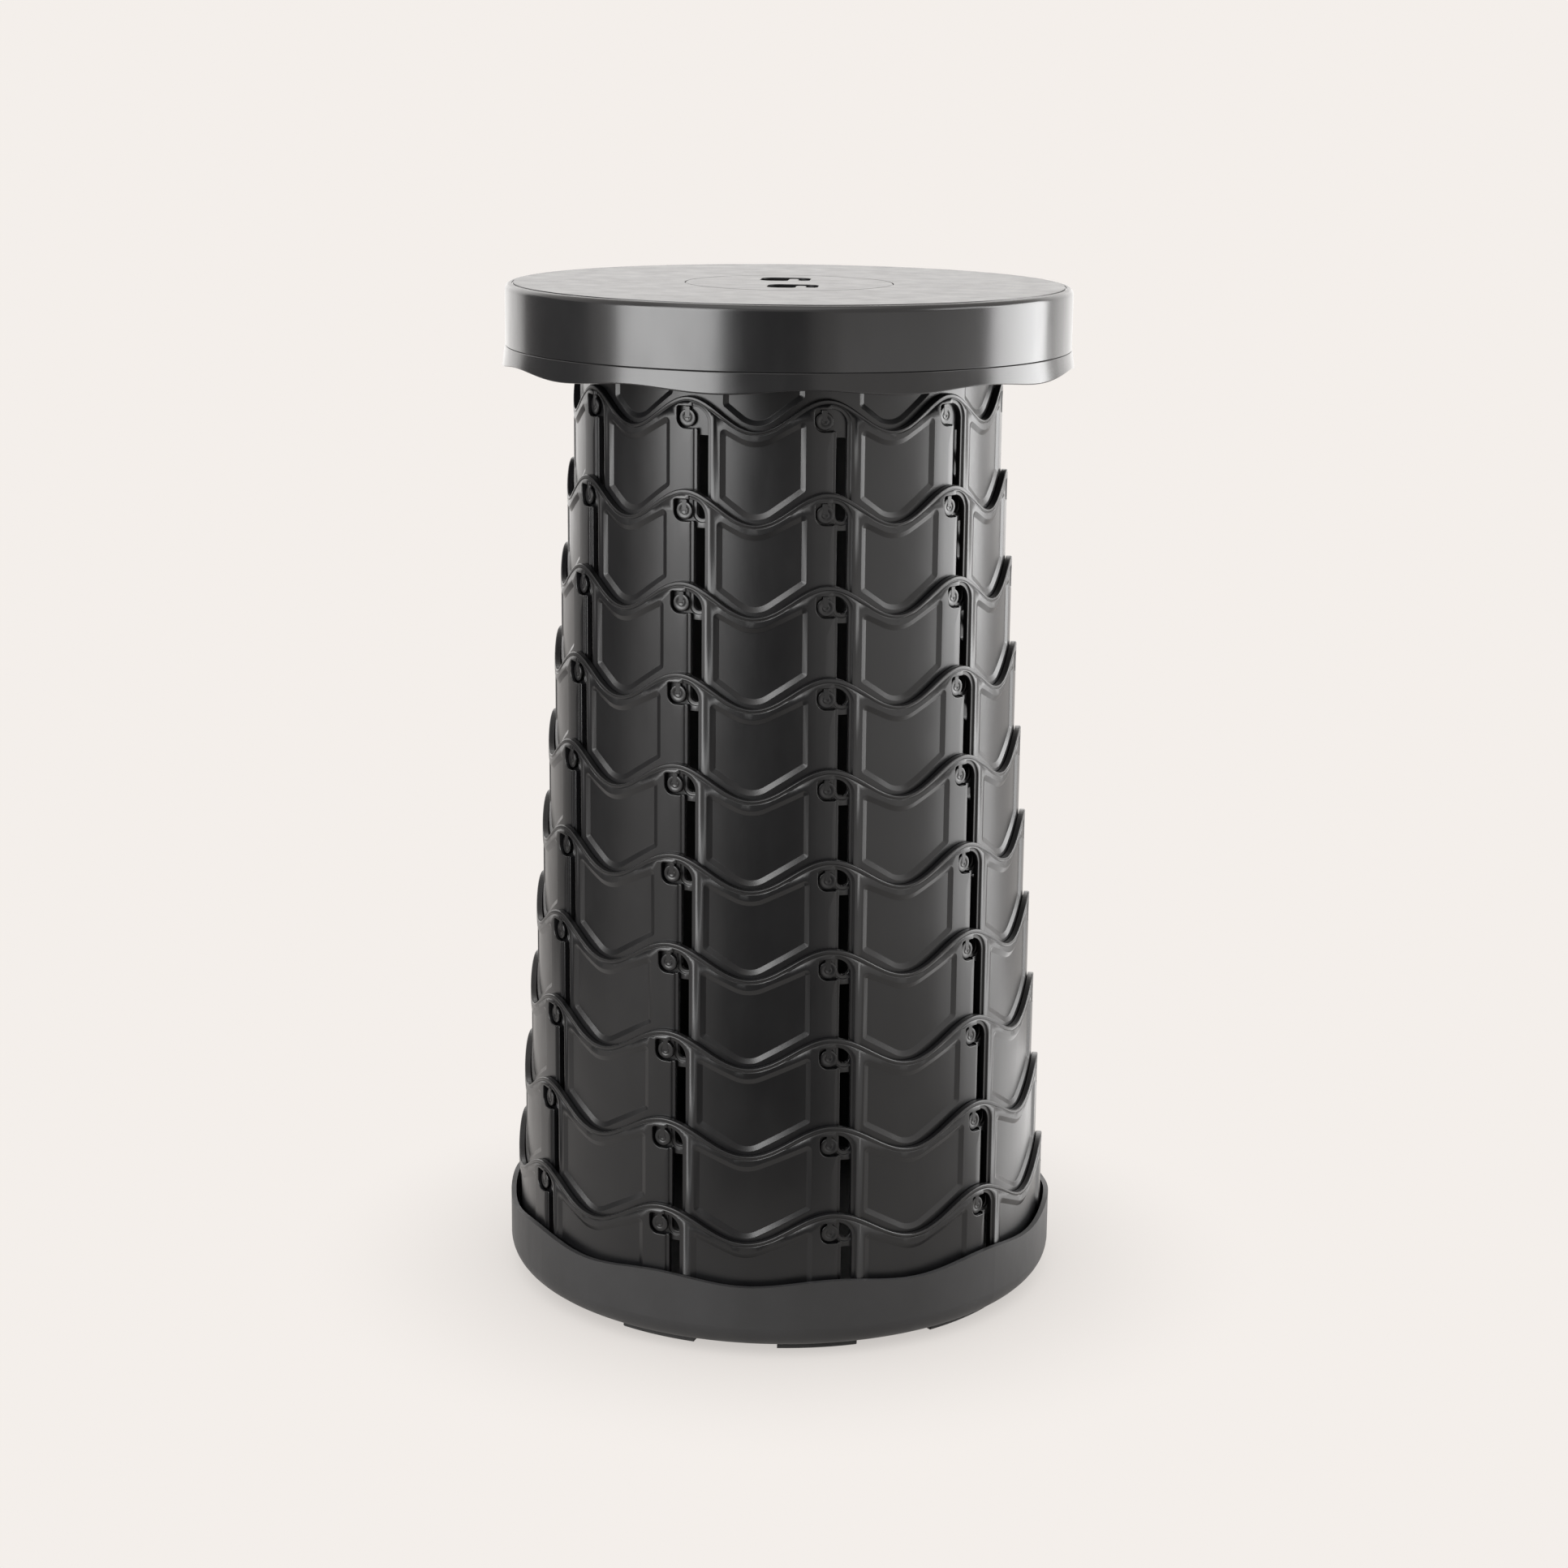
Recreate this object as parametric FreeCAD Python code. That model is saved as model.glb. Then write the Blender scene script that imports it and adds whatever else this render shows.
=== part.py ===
import FreeCAD, Part
import math
import os

from FreeCAD import Rotation, Vector

# Collapsible telescopic stool, shown extended and locked. Millimetres, +Z up.
# The origin is on the floor, on the axis of the rings. Every ring carries pins on its
# outside that hang in the hooked slots of the next larger ring.

# The stack of rings
columns = 10                # pins, slots and panels around each ring
last_ring = 10              # ring 0 is under the seat, the last ring stands in the base
ring_spacing = 38.4         # height from one row of pins to the next
travel_reserve = 0.4        # slot length left over when a ring is pushed right in
first_ring_radius = 91.4    # outside of ring 0
ring_wall = 2.5
ring_gap = 0.5              # radial running gap between neighbouring rings

# Wavy upper edge of a ring, measured from the row of pins that hangs in it
pin_to_peak = 9.2
ring_wave_depth = 13.5      # from the peaks down to the valleys
peak_offset = -6.4          # from the middle of a slot to the peak, along the outside
pin_to_bottom = 6.9         # from a ring's own pins down to its lower edge

# Hooked slot, measured from its middle and from the row of pins that hangs in it
pin_offset = -7.4           # from the middle of the slot to the pin
slot_width = 4.8
slot_below_pins = 3.2       # how far the slot goes on below the ring's own pins
arch_height = 5.0
arch_radius = 7.0
pocket_width = 9.2
pocket_floor = -4.5
pocket_corner = 4.2
pocket_top_corner = 1.2
hump_height = 0.6           # rise of the pocket floor towards the slot
hump_width = 2.4
hump_corner = 0.8
track_ledge = 1.5           # shoulder around the slot
track_depth = 0.9

# Pins
pin_head_radius = 3.7
pin_neck_radius = 2.2
pin_stand = 1.7             # height of the pin above the outside of its ring
pin_head_depth = 1.0
pin_tab_width = 2.4
pin_tab_rise = 1.0
pin_root = 0.6              # length of the neck inside the wall

# Guide channel on the inside of a ring, behind the strip below each pocket
channel_side_gap = 0.5
channel_face_gap = 0.3

# Recessed panels
panel_depth = 0.9
sector_edge = 5.9           # from the middle of a slot to the joint between two tenths
panel_after_slot = 7.9
panel_before_slot = 15.0
panel_top_drop = 5.3
panel_valley_drop = 4.6
panel_bottom_rise = 3.0
panel_valley_rise = 0.9
panel_side_corner = 2.0
panel_top_radius = 14.0
panel_bottom_radius = 12.0

# Seat
seat_plate = 2.2
nest_gap = 0.4              # between the ring tops and the seat when pushed right in
skirt_wall = 2.0
skirt_gap = 0.5             # between the last ring and the skirt when pushed right in
seat_edge_radius = 3.0
seat_crown_step = 0.3       # the flat top stands this much above its rounded border
rim_height = 8.0            # lower trim ring of the seat, without the waves
rim_flare = 1.3
rim_wall = 2.2
rim_step = 0.2              # how far the trim ring stands out at the seam
rim_meeting_gap = 1.8       # mean gap between seat edge and base edge when pushed in
rim_wave_depth = 2.2
rim_wave_phase = -9.5       # degrees

cap_radius = 45.4
cap_gap = 0.3
cap_thickness = 2.2
cap_edge = 0.4
cap_ledge = 5.0
cap_ledge_depth = 2.4
cap_hook_count = 3
cap_hook_width = 10.0
cap_hook_wall = 2.0
cap_hook_barb = 1.4
cap_hook_barb_height = 1.6
cap_hook_gap = 0.2
strap_slot_width = 22.0     # hooked opening for a carrying strap
strap_slot_depth = 20.0
strap_slot_corner = 5.5
strap_slot_tongue = 4.2
strap_slot_tongue_length = 12.5
strap_slot_tail = 5.2
strap_slot_distance = 20.0  # from the axis to the middle of an opening
strap_slot_shift = 3.0

seat_screw_count = 5
seat_screw_inset = 7.6      # from the inside of ring 0 to the middle of a screw
seat_band_height = 9.0      # thick band under the seat that takes the screws
seat_band_gap = 0.3
seat_flange = 3.0
seat_flange_width = 15.0
hub_wall = 2.4

# Base
foot_height = 3.0
floor_thickness = 3.0
floor_gap = 3.7             # from the floor to ring 9 when pushed right in
base_radius = 125.2
base_wall = 2.2
base_edge_height = 33.2     # mean height of the wavy upper edge
base_wave_depth = 3.0
base_corner_radius = 10.0
base_inner_corner = 5.0
base_chamfer_width = 3.6    # lower outer corner of the last ring
base_chamfer_height = 2.2
base_flange = 3.0
base_flange_width = 15.0
base_screw_count = 5
base_screw_inset = 7.6      # from the inside of the last ring to the middle of a screw
foot_outer_radius = 115.5
foot_width = 15.0
foot_angle = 17.5           # degrees
foot_phase = -5.4           # degrees from a slot to the middle of a foot
foot_edge = 0.8
foot_peg_radius = 3.0
foot_peg_gap = 0.05
foot_peg_spread = 5.0       # degrees from the middle of a foot to each peg

# Screws
screw_radius = 1.75
screw_hole_gap = 0.15
screw_head_radius = 3.4
screw_head_height = 2.2
screw_bite = 7.0
screw_recess_radius = 1.1
screw_recess_depth = 1.2

# Shapes that cut or join
overcut = 20.0              # how far a cutting shape runs past what it cuts
overlap = 1.0               # how far joined pieces run into each other
full_round = 0.99           # share of half its width that rounds a slot's end
nearly_sharp = 0.05

# Worked out from the sizes above
ring_step = ring_wall + ring_gap
stage_travel = ring_spacing - travel_reserve
column_angle = 360.0 / columns
floor_top = foot_height + floor_thickness
lowest_pins = floor_top + floor_gap + pin_to_bottom + stage_travel
last_ring_radius = first_ring_radius + last_ring * ring_step
highest_pins = lowest_pins + (last_ring - 1) * ring_spacing
seat_underside = highest_pins + pin_to_peak + stage_travel + nest_gap
seat_top = seat_underside + seat_plate
skirt_inner = last_ring_radius + skirt_gap
skirt_outer = skirt_inner + skirt_wall
rim_edge = base_edge_height + last_ring * stage_travel + rim_meeting_gap
rim_top = rim_edge + rim_height
channel_depth = pin_stand - ring_gap + channel_face_gap
seat_screw_circle = first_ring_radius - ring_wall - seat_screw_inset
base_screw_circle = last_ring_radius - ring_wall - base_screw_inset
base_screw_phase = foot_phase + column_angle / 2
foot_middle = foot_outer_radius - foot_width / 2


def ring_radius(number):
    """Outside radius of a ring."""
    return first_ring_radius + number * ring_step


def pins_in(number):
    """Height of the row of pins that hangs in a ring's pockets."""
    return lowest_pins + (last_ring - number) * ring_spacing


def arc_angle(length, radius):
    """Angle in degrees of a length measured along a circle."""
    return math.degrees(length / radius)


def turned(shape, angle):
    """A copy turned about the axis of the rings."""
    copy = shape.copy()
    copy.rotate(Vector(0, 0, 0), Vector(0, 0, 1), angle)
    return copy


def around(shape, count, first=0.0):
    """Copies evenly spaced around the axis."""
    return [turned(shape, first + 360.0 * i / count) for i in range(count)]


def tube(inner, outer, low, high):
    """Straight ring about the axis."""
    body = Part.makeCylinder(outer, high - low, Vector(0, 0, low))
    return body.cut(Part.makeCylinder(inner, high - low + 2 * overcut,
                                      Vector(0, 0, low - overcut)))


def disc(radius, low, high, x=0.0, y=0.0):
    """Upright cylinder."""
    return Part.makeCylinder(radius, high - low, Vector(x, y, low))


def revolved(points, angle=360.0):
    """Solid turned from a closed outline of radius and height pairs or arcs."""
    edges = []
    for i, point in enumerate(points):
        start = Vector(point[0], 0, point[1])
        following = points[(i + 1) % len(points)]
        end = Vector(following[0], 0, following[1])
        if len(point) == 4:
            edges.append(Part.Arc(start, Vector(point[2], 0, point[3]), end).toShape())
        else:
            edges.append(Part.makeLine(start, end))
    face = Part.Face(Part.Wire(edges))
    return face.revolve(Vector(0, 0, 0), Vector(0, 0, 1), angle)


def rounded_wire(corners):
    """Closed outline in the plane X = 0 from corners of across, height and radius."""
    edges = []
    joints = []
    count = len(corners)
    for i in range(count):
        here = Vector(0, corners[i][0], corners[i][1])
        before = Vector(0, corners[i - 1][0], corners[i - 1][1])
        after = Vector(0, corners[(i + 1) % count][0], corners[(i + 1) % count][1])
        back = (before - here).normalize()
        ahead = (after - here).normalize()
        half = math.acos(max(-1.0, min(1.0, back.dot(ahead)))) / 2
        radius = corners[i][2]
        reach = radius / math.tan(half)
        middle = (back + ahead).normalize()
        centre = here + middle * (radius / math.sin(half))
        joints.append((here + back * reach, centre - middle * radius, here + ahead * reach))
    for i in range(count):
        start, top, end = joints[i]
        edges.append(Part.Arc(start, top, end).toShape())
        edges.append(Part.makeLine(end, joints[(i + 1) % count][0]))
    return Part.Wire(edges)


def radial_prism(corners, inner, outer):
    """Outline pushed outwards along +X from one distance to another."""
    wire = rounded_wire(corners)
    wire.translate(Vector(inner, 0, 0))
    return Part.Face(wire).extrude(Vector(outer - inner, 0, 0))


def wave_block(inner, outer, first, last, height_at, reach):
    """Block between two angles whose near end is a wave. A negative reach goes down."""
    margin = 1.5                # past the inside and the outside
    steps = 20
    marks = range(-1, steps + 2)
    edges = []
    for radius in (inner - margin, outer + margin):
        points = []
        for i in marks:
            angle = first + (last - first) * i / steps
            turn = math.radians(angle)
            points.append(Vector(radius * math.cos(turn), radius * math.sin(turn),
                                 height_at(angle)))
        curve = Part.BSplineCurve()
        curve.interpolate(Points=points, Parameters=[float(i) for i in marks])
        edges.append(curve.toShape())
    return Part.makeRuledSurface(edges[0], edges[1]).extrude(Vector(0, 0, reach))


def rim_wave(mean, depth, phase):
    """Height of a wavy rim at an angle in degrees."""
    return lambda angle: mean + depth / 2 * math.cos(math.radians(columns * (angle - phase)))


def joined(shapes):
    """One solid from pieces that touch."""
    return shapes[0].fuse(shapes[1:])


def hooked_slot(pins, bottom):
    """Corners of the slot: pocket on the left, arch on top, long leg on the right."""
    half = slot_width / 2
    left = pin_offset - pocket_width / 2
    floor = pins + pocket_floor
    return [
        (left, pins + arch_height, pocket_top_corner),
        (half, pins + arch_height, arch_radius),
        (half, bottom, half * full_round),
        (-half, bottom, half * full_round),
        (-half, floor + hump_height, hump_corner),
        (-half - hump_width, floor, hump_corner),
        (left, floor, pocket_corner),
    ]


def slot_track(pins, bottom):
    """Corners of the shallow shoulder around the long leg and the arch."""
    half = slot_width / 2
    side = half + track_ledge
    top = pins + arch_height + track_ledge
    inside = half - arch_radius
    return [
        (inside, top, nearly_sharp),
        (side, top, (arch_radius + track_ledge) * full_round),
        (side, bottom - track_ledge, side * full_round),
        (-side, bottom - track_ledge, side * full_round),
        (-side, pins + pocket_floor + hump_height, nearly_sharp),
        (inside, pins + pocket_floor + hump_height, nearly_sharp),
    ]


def vee_bottom(height, half_width, rise, radius):
    """Corner height that leaves a rounded V with its lowest point at a height."""
    slope = math.atan2(rise, half_width)
    return height - radius * (1 / math.cos(slope) - 1)


def wave_height(along, radius, pins):
    """Height of a ring's upper edge at a length from the middle of a slot."""
    phase = columns * (along - peak_offset) / radius
    return pins + pin_to_peak - ring_wave_depth / 2 * (1 - math.cos(phase))


def panel_cutter(number, closed_top=None):
    """Shallow recess between two slots: a rounded V below, a wave above."""
    radius = ring_radius(number)
    pitch = 2 * math.pi * radius / columns
    left = panel_after_slot
    right = pitch - panel_before_slot
    middle = (left + right) / 2
    valley = pitch / 2 + peak_offset
    own_pins = pins_in(number + 1)
    pins = pins_in(number)

    def across(along):
        return radius * math.sin((along - middle) / radius)

    low_left = wave_height(left, radius, own_pins) + panel_bottom_rise
    low_right = wave_height(right, radius, own_pins) + panel_bottom_rise
    low_valley = wave_height(valley, radius, own_pins) + panel_valley_rise
    low_rise = (low_left + low_right) / 2 - low_valley
    half_width = (right - left) / 2
    corners = [
        (across(right), low_right, panel_side_corner),
        (across(valley), vee_bottom(low_valley, half_width, low_rise, panel_bottom_radius),
         panel_bottom_radius),
        (across(left), low_left, panel_side_corner),
    ]
    if closed_top is None:
        high_left = wave_height(left, radius, pins) - panel_top_drop
        high_right = wave_height(right, radius, pins) - panel_top_drop
        high_valley = wave_height(valley, radius, pins) - panel_valley_drop
        high_rise = (high_left + high_right) / 2 - high_valley
        vertex = vee_bottom(high_valley, half_width, high_rise, panel_top_radius)
        corners += [
            (across(left), high_left, panel_side_corner),
            (across(valley), vertex, panel_top_radius),
            (across(right), high_right, panel_side_corner),
        ]
    else:
        corners += [
            (across(left), closed_top, panel_side_corner),
            (across(right), closed_top, panel_side_corner),
        ]
    prism = radial_prism(corners, radius - overcut, radius + overcut)
    low = own_pins - pin_to_bottom
    high = corners[-1][1] + overcut
    skin = tube(radius - panel_depth, radius + 2 * overcut, low, high)
    return turned(prism.common(skin), arc_angle(middle, radius))


def pin(number):
    """Headed pin with a small upright tab, on the outside of a ring."""
    radius = ring_radius(number)
    height = pins_in(number + 1)
    face = radius + pin_stand
    seat = face - pin_head_depth
    outwards = Rotation(Vector(0, 0, 1), Vector(1, 0, 0))
    neck = Part.makeCylinder(pin_neck_radius, face - radius + pin_root)
    neck.Placement = FreeCAD.Placement(Vector(radius - pin_root, 0, height), outwards)
    head = Part.makeCylinder(pin_head_radius, pin_head_depth)
    head.Placement = FreeCAD.Placement(Vector(seat, 0, height), outwards)
    tab = Part.makeBox(pin_head_depth, pin_tab_width, pin_head_radius + pin_tab_rise,
                       Vector(seat, -pin_tab_width / 2, height))
    angle = arc_angle(pin_offset, ring_radius(number + 1))
    return turned(neck.fuse([head, tab]), angle)


def guide_channel(number):
    """Inside groove behind the strip below a pocket, open at the lower edge."""
    inner = ring_radius(number) - ring_wall
    half = pin_head_radius + channel_side_gap
    top = pins_in(number)
    bottom = pins_in(number) - ring_spacing - pin_to_bottom - overcut
    block = Part.makeBox(channel_depth + overcut, 2 * half, top - bottom,
                         Vector(inner - overcut, -half, bottom))
    return turned(block, arc_angle(pin_offset, ring_radius(number)))


def screw(x, y, head_base, bite):
    """Pan-head screw driven upwards, its head below the given height."""
    shank = disc(screw_radius, head_base, head_base + bite, x, y)
    head = disc(screw_head_radius, head_base - screw_head_height, head_base, x, y)
    recess = disc(screw_recess_radius, head_base - screw_head_height - overlap,
                  head_base - screw_head_height + screw_recess_depth, x, y)
    return shank.fuse(head).cut(recess).removeSplitter()


def ring_profile(number, low, high):
    """Section of a ring's wall. The last ring has a chamfer and a flange at its foot."""
    radius = ring_radius(number)
    inner = radius - ring_wall
    if number < last_ring:
        return [(inner, low), (radius, low), (radius, high), (inner, high)]
    flange = inner - base_flange_width
    return [
        (flange, low),
        (radius - base_chamfer_width, low),
        (radius, low + base_chamfer_height),
        (radius, high),
        (inner, high),
        (inner, low + base_flange),
        (flange, low + base_flange),
    ]


def ring_sector(number):
    """One tenth of a ring: the panel after one slot, and the next slot with its pocket."""
    radius = ring_radius(number)
    inner = radius - ring_wall
    pins = pins_in(number)
    low = floor_top if number == last_ring else pins - ring_spacing - pin_to_bottom
    high = pins + pin_to_peak
    first = arc_angle(sector_edge, radius)
    wall = revolved(ring_profile(number, low, high), column_angle)
    wall = turned(wall, first)
    wave = rim_wave(high - ring_wave_depth / 2, ring_wave_depth, arc_angle(peak_offset, radius))
    slot_bottom = pins - ring_spacing - slot_below_pins
    slot = radial_prism(hooked_slot(pins, slot_bottom), inner - ring_wall, radius + overcut)
    track = radial_prism(slot_track(pins, slot_bottom), radius - track_depth, radius + overcut)
    wall = wall.cut([
        wave_block(inner, radius, first, first + column_angle, wave, overcut),
        turned(slot, column_angle),
        turned(track, column_angle),
        turned(guide_channel(number), column_angle),
        panel_cutter(number),
    ])
    if number == last_ring:
        return wall
    return wall.fuse(turned(pin(number), column_angle))


def sliding_ring(number):
    """A whole ring with its wave, slots, panels, guide channels and pins."""
    return joined(around(ring_sector(number), columns))


def seat_ring():
    """Ring 0: plain upper end under the seat, with a flange for the seat screws."""
    radius = ring_radius(0)
    inner = radius - ring_wall
    low = pins_in(1) - pin_to_bottom
    body = tube(inner, radius, low, seat_underside)
    panels = around(panel_cutter(0, seat_underside - panel_before_slot), columns)
    body = body.cut(panels)
    high = seat_underside - seat_band_height
    flange = tube(inner - seat_flange_width, inner + ring_wall / 2, high - seat_flange, high)
    hole = disc(screw_radius + screw_hole_gap, high - seat_flange - overlap, high + overlap,
                seat_screw_circle, 0)
    flange = flange.cut(around(hole, seat_screw_count))
    return body.fuse(around(pin(0), columns)).fuse(flange)


def last_ring_in_base():
    """Ring 10 with holes in its flange for the base screws."""
    pilot = disc(screw_radius, floor_top - overlap, floor_top + base_flange + overlap,
                 base_screw_circle, 0)
    return sliding_ring(last_ring).cut(around(pilot, base_screw_count, base_screw_phase))


def strap_slot(x, y):
    """Upright prism of a hooked opening, with a tongue that reaches in from one side."""
    half = strap_slot_width / 2
    deep = strap_slot_depth / 2
    tongue_right = half - strap_slot_tail
    tongue_left = tongue_right - strap_slot_tongue
    tip = -deep + strap_slot_tongue_length
    round_tip = strap_slot_tongue / 2 * full_round
    small = strap_slot_tail / 2 * full_round
    wire = rounded_wire([
        (-half, -deep, strap_slot_corner),
        (tongue_left, -deep, small),
        (tongue_left, tip, round_tip),
        (tongue_right, tip, round_tip),
        (tongue_right, -deep + small, small),
        (half, -deep + small, small),
        (half, deep, strap_slot_corner),
        (-half, deep, strap_slot_corner),
    ])
    wire.rotate(Vector(0, 0, 0), Vector(0, 1, 0), -90)
    wire.rotate(Vector(0, 0, 0), Vector(0, 0, 1), -90)
    wire.translate(Vector(x, y, seat_top + overlap))
    return Part.Face(wire).extrude(Vector(0, 0, -cap_thickness - 2 * overlap))


def cap_hook():
    """Springy leg under the cap whose barb reaches under the ledge."""
    high = seat_top - cap_thickness
    low = high - cap_ledge_depth - cap_hook_gap
    outer = cap_radius - cap_ledge - cap_hook_gap
    corner = Vector(outer - cap_hook_wall, -cap_hook_width / 2, low - cap_hook_barb_height)
    leg = Part.makeBox(cap_hook_wall, cap_hook_width, high + overlap - corner.z, corner)
    barb = Part.makeBox(cap_hook_wall + cap_hook_barb, cap_hook_width, cap_hook_barb_height,
                        corner)
    return leg.fuse(barb)


def centre_cap():
    """Inset disc in the middle of the seat, with two strap openings and three hooks."""
    low = seat_top - cap_thickness
    body = revolved([
        (0, low),
        (cap_radius, low),
        (cap_radius, seat_top - cap_edge),
        (cap_radius - cap_edge, seat_top),
        (0, seat_top),
    ])
    body = body.cut([strap_slot(-strap_slot_shift, strap_slot_distance),
                     strap_slot(strap_slot_shift, -strap_slot_distance)])
    return body.fuse(around(cap_hook(), cap_hook_count))


def seat_cover():
    """Round seat shell: flat top, rounded border, skirt, ledge for the cap, screw band."""
    border = skirt_outer - seat_edge_radius
    lean = seat_edge_radius * (1 - math.cos(math.radians(45)))
    edge_top = seat_top - seat_crown_step
    shell = revolved([
        (cap_radius + cap_gap, seat_underside),
        (skirt_inner, seat_underside),
        (skirt_inner, rim_top),
        (skirt_outer, rim_top),
        (skirt_outer, edge_top - seat_edge_radius, skirt_outer - lean, edge_top - lean),
        (border, edge_top),
        (border - seat_crown_step, seat_top),
        (cap_radius + cap_gap, seat_top),
    ])
    ledge_low = seat_top - cap_thickness - cap_ledge_depth
    ledge = revolved([
        (cap_radius - cap_ledge, ledge_low),
        (cap_radius + cap_gap + hub_wall, ledge_low),
        (cap_radius + cap_gap + hub_wall, seat_underside + seat_plate / 2),
        (cap_radius + cap_gap, seat_underside + seat_plate / 2),
        (cap_radius + cap_gap, seat_top - cap_thickness),
        (cap_radius - cap_ledge, seat_top - cap_thickness),
    ])
    band_outer = first_ring_radius - ring_wall - seat_band_gap
    band_low = seat_underside - seat_band_height
    band = tube(band_outer - seat_flange_width, band_outer, band_low, seat_underside + overlap)
    pilot = disc(screw_radius, band_low - overlap, band_low + screw_bite + overlap,
                 seat_screw_circle, 0)
    return shell.fuse([ledge, band]).cut(around(pilot, seat_screw_count))


def seat_rim():
    """Flared trim ring below the skirt, with a wavy lower edge and a tongue inside it."""
    mouth = skirt_outer + rim_flare
    low = rim_edge - rim_wave_depth
    sector = revolved([
        (mouth - rim_wall, low),
        (mouth, low),
        (skirt_outer + rim_step, rim_top),
        (skirt_inner, rim_top),
        (mouth - rim_wall, rim_top - rim_height / 2),
    ], column_angle)
    wave = rim_wave(rim_edge, rim_wave_depth, rim_wave_phase)
    sector = sector.cut(wave_block(mouth - rim_wall, mouth, 0, column_angle, wave, -overcut))
    return joined(around(sector, columns))


def base_cup():
    """Round base: floor, rounded corner and a low wall with a wavy upper edge."""
    inner = base_radius - base_wall
    lean = base_corner_radius * (1 - math.cos(math.radians(45)))
    inner_lean = base_inner_corner * (1 - math.cos(math.radians(45)))
    high = base_edge_height + base_wave_depth / 2
    wall_foot = inner - base_corner_radius
    sector = revolved([
        (wall_foot, foot_height),
        (base_radius - base_corner_radius, foot_height,
         base_radius - lean, foot_height + lean),
        (base_radius, foot_height + base_corner_radius),
        (base_radius, high),
        (inner, high),
        (inner, floor_top + base_inner_corner, inner - inner_lean, floor_top + inner_lean),
        (inner - base_inner_corner, floor_top),
        (wall_foot, floor_top),
    ], column_angle)
    wave = rim_wave(base_edge_height, base_wave_depth, arc_angle(peak_offset, last_ring_radius))
    sector = sector.cut(wave_block(inner, base_radius, 0, column_angle, wave, overcut))
    body = joined(around(sector, columns) + [disc(wall_foot, foot_height, floor_top)])
    low = foot_height - overlap
    high = floor_top + overlap
    hole = disc(screw_radius + screw_hole_gap, low, high, base_screw_circle, 0)
    sink = disc(screw_head_radius + screw_hole_gap, low, foot_height + screw_head_height / 2,
                base_screw_circle, 0)
    holes = around(hole.fuse(sink), base_screw_count, base_screw_phase)
    peg_hole = disc(foot_peg_radius + foot_peg_gap, low, high, foot_middle, 0)
    for side in (-foot_peg_spread, foot_peg_spread):
        holes += around(peg_hole, columns, foot_phase + side)
    return body.cut(holes)


def foot_pads():
    """Ten arc-shaped pads under the base, each held by two pegs in the floor."""
    inner = foot_outer_radius - foot_width
    profile = [
        (inner + foot_edge, 0),
        (foot_outer_radius - foot_edge, 0),
        (foot_outer_radius, foot_edge),
        (foot_outer_radius, foot_height),
        (inner, foot_height),
        (inner, foot_edge),
    ]
    pad = turned(revolved(profile, foot_angle), -foot_angle / 2)
    peg = disc(foot_peg_radius, foot_height - overlap, floor_top, foot_middle, 0)
    pad = pad.fuse([turned(peg, -foot_peg_spread), turned(peg, foot_peg_spread)])
    return around(pad, columns, foot_phase)


def seat_screws():
    """Screws up through the flange of ring 0 into the seat."""
    base = seat_underside - seat_band_height - seat_flange
    return around(screw(seat_screw_circle, 0, base, seat_flange + screw_bite), seat_screw_count)


def base_screws():
    """Screws up through the floor into the flange of the last ring."""
    base = foot_height + screw_head_height / 2
    bite = floor_top + base_flange - base
    return around(screw(base_screw_circle, 0, base, bite), base_screw_count, base_screw_phase)


def export(name, solids):
    """Write one node, its solids kept apart."""
    shapes = solids if isinstance(solids, list) else [solids]
    parts = []
    for shape in shapes:
        parts += shape.Solids
    whole = parts[0] if len(parts) == 1 else Part.makeCompound(parts)
    whole.exportStep("parts/%s.step" % name)
    print(name, len(parts), "solids", round(sum(p.Volume for p in parts)),
          "valid" if whole.isValid() else "not valid")


os.makedirs("parts", exist_ok=True)
export("seat_cover", seat_cover())
export("seat_rim", seat_rim())
export("centre_cap", centre_cap())
export("seat_screws", seat_screws())
export("ring_00", seat_ring())
for ring_number in range(1, last_ring):
    export("ring_%02d" % ring_number, sliding_ring(ring_number))
export("ring_%02d" % last_ring, last_ring_in_base())
export("base_cup", base_cup())
export("foot_pads", foot_pads())
export("base_screws", base_screws())
print("seat top", round(seat_top, 2), "travel", round(last_ring * stage_travel, 2))
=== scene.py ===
"""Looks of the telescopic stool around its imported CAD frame. Metres, +Z up."""

import math

import bpy
import numpy as np
from mathutils import Matrix, Vector
from mathutils.geometry import delaunay_2d_cdt


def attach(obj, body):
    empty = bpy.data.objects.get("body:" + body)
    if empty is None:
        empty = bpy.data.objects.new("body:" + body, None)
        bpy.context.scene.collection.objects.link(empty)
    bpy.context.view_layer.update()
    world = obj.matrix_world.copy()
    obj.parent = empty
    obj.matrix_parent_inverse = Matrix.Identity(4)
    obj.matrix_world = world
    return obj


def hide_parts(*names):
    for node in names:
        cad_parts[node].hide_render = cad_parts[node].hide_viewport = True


MM = 0.001

# Camera, fitted to the rows of pins and the outlines of seat and base. The azimuth is a little
# past the fit's own, so that the slots of the far side hide behind the near rings.
CAMERA_DISTANCE = 1.3577
CAMERA_HEIGHT = 0.5481
CAMERA_AZIMUTH = math.radians(4.1)
CAMERA_PITCH = 0.2338
CAMERA_ROLL = 0.0105
FOCAL_PIXELS = 3788.0
FRAME_PIXELS = 1932.0
SENSOR = 36.0
CLIP_NEAR = 0.01
CLIP_FAR = 20.0

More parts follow.
